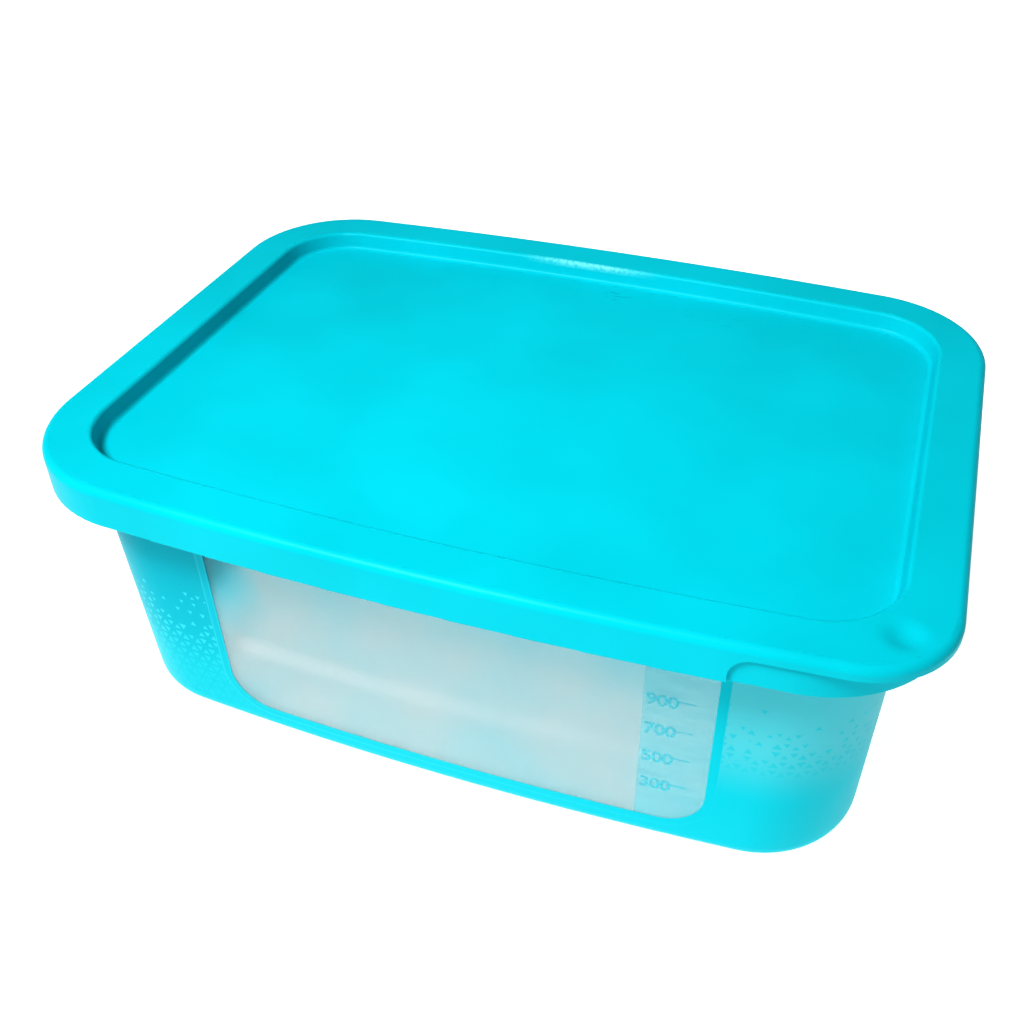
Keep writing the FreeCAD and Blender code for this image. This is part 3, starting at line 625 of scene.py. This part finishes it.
for number, level in MARKS:
    bpy.ops.object.select_all(action="DESELECT")
    bpy.ops.object.text_add(rotation=(math.pi / 2, 0, 0))
    digits = bpy.context.object
    digits.data.body = str(number)
    digits.data.size = NUMBER_HEIGHT * FONT_SHARE
    digits.data.align_x = "LEFT"
    digits.data.align_y = "CENTER"
    digits.data.extrude = INK_THICKNESS / 2
    digits.data.offset = NUMBER_WEIGHT
    digits.data.resolution_u = 5
    digits.data.space_character = 0.95
    bpy.ops.object.convert(target="MESH")
    digits = bpy.context.object
    digits.name = "number_%d" % number
    digits.location = (NUMBER_LEFT, 0, level)
    bpy.ops.object.transform_apply(location=True, rotation=True, scale=True)
    bpy.ops.object.mode_set(mode="EDIT")
    bpy.ops.mesh.select_all(action="SELECT")
    bpy.ops.mesh.remove_doubles(threshold=2 * MERGED_WITHIN)
    bpy.ops.mesh.normals_make_consistent(inside=False)
    bpy.ops.object.mode_set(mode="OBJECT")

    bpy.ops.object.select_all(action="DESELECT")
    bpy.ops.mesh.primitive_cube_add(size=1)
    dash = bpy.context.object
    dash.name = "dash_%d" % number
    dash.scale = (DASH_RIGHT - DASH_LEFT, INK_THICKNESS, DASH_WIDTH)
    dash.location = ((DASH_LEFT + DASH_RIGHT) / 2, 0, level + DASH_RISE)
    bpy.ops.object.transform_apply(location=True, rotation=True, scale=True)
    bpy.ops.object.mode_set(mode="EDIT")
    bpy.ops.mesh.select_all(action="DESELECT")
    dash_mesh = bmesh.from_edit_mesh(dash.data)
    for edge in dash_mesh.edges:
        edge.select = abs(edge.verts[0].co.y - edge.verts[1].co.y) > INK_THICKNESS / 2
    bmesh.update_edit_mesh(dash.data)
    bpy.ops.mesh.bevel(offset=DASH_WIDTH * DASH_ROUND, segments=4, affect="EDGES")
    bpy.ops.object.mode_set(mode="OBJECT")

    for mark in (digits, dash):
        laid_on_wall(mark, INK_LIFT)
        mark.data.materials.clear()
        mark.data.materials.append(scale_ink)
        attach(mark, "root")

# ------------------------------------------------------------------------------ lid
# The lid: one moulding of turquoise polyethylene, soft enough to snap over the tub's
# flange, with a sunk panel for stacking and a lifting tab at the front right corner. It
# is pressed on last and held by the bead inside its skirt.

LID_TURQUOISE, LID_LIGHTER = "#00C4D1", "#00CCDB"
# the dark of the scuffs, and the pale of the painted highlight on the recess's back wall
SCUFF_DARK, SHEEN_PALE = "#0FA0B2", "#84E2EA"
SHADE_SIZE = 35 * MM
SCRATCH_TURN = -7             # degrees off the lid's length
SCRATCH_SIZE = (3.0303 * MM, 0.7692 * MM, 3.3333 * MM)
SCUFF_MIDDLE, SCUFF_CORE, SCUFF_REACH = 26 * MM, 14 * MM, 34 * MM
SCUFF_FRONT = (46 * MM, 56 * MM)
SCUFF_BACK = (60 * MM, 60.5 * MM)       # at the foot of the recess's back wall
SCUFF_AT_BACK = 0.7
SCUFF_PATCH = 18 * MM
SCUFF_DEPTH = 0.03 * MM
# the painted highlight on the top edge of the recess's back wall
SHEEN_MIDDLE, SHEEN_CORE, SHEEN_REACH = -5 * MM, 4 * MM, 22 * MM
SHEEN_UP = (73.6 * MM, 74.9 * MM)         # the top of the recess's back wall
SHEEN_IN = (50 * MM, 52 * MM)
SHEEN_EDGE, SHEEN_EDGE_FADE = 63 * MM, 0.8 * MM
SHEEN_GRAIN = 0.9 * MM
GRAIN_SIZE, GRAIN_DEPTH = 0.7 * MM, 0.03 * MM

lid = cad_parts["lid"]

# Low-density polyethylene, coloured right through and moulded with a fine, soft grain:
# a satin turquoise, a little cloudy, with broad dull highlights. The panel has short
# dark scuffs near its back wall, and that wall's top edge has a painted highlight, a pale
# grainy sheen. The grain is coarser than the real one, or it would not show.
lid_plastic, tree = new_material("moulded_polyethylene_turquoise")
place = add_node(tree, "ShaderNodeTexCoord")
spot = add_node(tree, "ShaderNodeSeparateXYZ", {0: place.outputs["Object"]})
shades = add_node(tree, "ShaderNodeTexNoise", {"Vector": place.outputs["Object"],
                  "Scale": 1 / SHADE_SIZE, "Detail": 2.0})
shaded = add_node(tree, "ShaderNodeMapRange", {"Value": shades, "From Min": 0.3,
                  "From Max": 0.7})
plain_colour = add_node(tree, "ShaderNodeMix", {0: shaded, 6: linear(LID_TURQUOISE),
                        7: linear(LID_LIGHTER)}, data_type="RGBA")

# short scratches along the lid, in patches near the recess's back wall
drawn_out = add_node(tree, "ShaderNodeMapping", {0: place.outputs["Object"],
                     "Rotation": (0, 0, math.radians(SCRATCH_TURN)),
                     "Scale": tuple(1 / size for size in SCRATCH_SIZE)})
scratch_noise = add_node(tree, "ShaderNodeTexNoise", {"Vector": drawn_out, "Scale": 1.0,
                         "Detail": 1.0})
scratches = add_node(tree, "ShaderNodeMapRange", {"Value": scratch_noise, "From Min": 0.6,
                     "From Max": 0.67})
scuff_run = patch(tree, spot.outputs["X"], SCUFF_MIDDLE, SCUFF_CORE, SCUFF_REACH)
scuff_front = add_node(tree, "ShaderNodeMapRange", {"Value": spot.outputs["Y"],
                       "From Min": SCUFF_FRONT[0], "From Max": SCUFF_FRONT[1]})
scuff_back = add_node(tree, "ShaderNodeMapRange", {"Value": spot.outputs["Y"],
                      "From Min": SCUFF_BACK[0], "From Max": SCUFF_BACK[1],
                      "To Min": SCUFF_AT_BACK, "To Max": 0.0})
scuff_width = add_node(tree, "ShaderNodeMath", {0: scuff_front, 1: scuff_back},
                       operation="MULTIPLY")
scuff_field = add_node(tree, "ShaderNodeMath", {0: scuff_run, 1: scuff_width},
                       operation="MULTIPLY")
patches = add_node(tree, "ShaderNodeTexNoise", {"Vector": place.outputs["Object"],
                   "Scale": 1 / SCUFF_PATCH, "Detail": 1.0})
patchy = add_node(tree, "ShaderNodeMapRange", {"Value": patches, "From Min": 0.5,
                  "From Max": 0.62})
scuffed_place = add_node(tree, "ShaderNodeMath", {0: scuff_field, 1: patchy},
                         operation="MULTIPLY")
scuffs = add_node(tree, "ShaderNodeMath", {0: scratches, 1: scuffed_place},
                  operation="MULTIPLY")
scuffed_colour = add_node(tree, "ShaderNodeMix", {0: scuffs, 6: plain_colour.outputs[2],
                          7: linear(SCUFF_DARK)}, data_type="RGBA")

# painted highlight: a pale, grainy sheen on the top edge of the recess's back wall
sheen_run = patch(tree, spot.outputs["X"], SHEEN_MIDDLE, SHEEN_CORE, SHEEN_REACH,
                fade="SMOOTHSTEP")
sheen_up = add_node(tree, "ShaderNodeMapRange", {"Value": spot.outputs["Z"],
                  "From Min": SHEEN_UP[0], "From Max": SHEEN_UP[1]})
sheen_in = add_node(tree, "ShaderNodeMapRange", {"Value": spot.outputs["Y"],
                  "From Min": SHEEN_IN[0], "From Max": SHEEN_IN[1]})
sheen_out = add_node(tree, "ShaderNodeMapRange", {"Value": spot.outputs["Y"],
                   "From Min": SHEEN_EDGE, "From Max": SHEEN_EDGE + SHEEN_EDGE_FADE,
                   "To Min": 1.0, "To Max": 0.0})
sheen_noise = add_node(tree, "ShaderNodeTexNoise", {"Vector": place.outputs["Object"],
                     "Scale": 1 / SHEEN_GRAIN, "Detail": 3.0})
sheen_grain = add_node(tree, "ShaderNodeMapRange", {"Value": sheen_noise, "From Min": 0.35,
                     "From Max": 0.6, "To Min": 0.35})
sheen_length = add_node(tree, "ShaderNodeMath", {0: sheen_up, 1: sheen_run},
                      operation="MULTIPLY")
sheen_width = add_node(tree, "ShaderNodeMath", {0: sheen_in, 1: sheen_out},
                     operation="MULTIPLY")
sheen_field = add_node(tree, "ShaderNodeMath", {0: sheen_length, 1: sheen_width},
                     operation="MULTIPLY")
painted_sheen = add_node(tree, "ShaderNodeMath", {0: sheen_field, 1: sheen_grain},
                  operation="MULTIPLY")
scuffed_and_sheened_colour = add_node(tree, "ShaderNodeMix", {0: painted_sheen, 6: scuffed_colour.outputs[2],
                       7: linear(SHEEN_PALE)}, data_type="RGBA")

grain = add_node(tree, "ShaderNodeTexNoise", {"Vector": place.outputs["Object"],
                 "Scale": 1 / GRAIN_SIZE, "Detail": 3.0})
grained = add_node(tree, "ShaderNodeBump", {"Height": grain, "Strength": 0.15,
                   "Distance": GRAIN_DEPTH})
scratched = add_node(tree, "ShaderNodeBump", {"Height": scuffs, "Strength": 0.4,
                     "Distance": -SCUFF_DEPTH, "Normal": grained})
surface = add_node(tree, "ShaderNodeBsdfPrincipled",
                   {"Base Color": scuffed_and_sheened_colour.outputs[2], "Roughness": 0.38,
                    "IOR": 1.51, "Specular IOR Level": 0.07, "Normal": scratched})
add_node(tree, "ShaderNodeOutputMaterial", {"Surface": surface})
lid.material_slots[0].material = lid_plastic
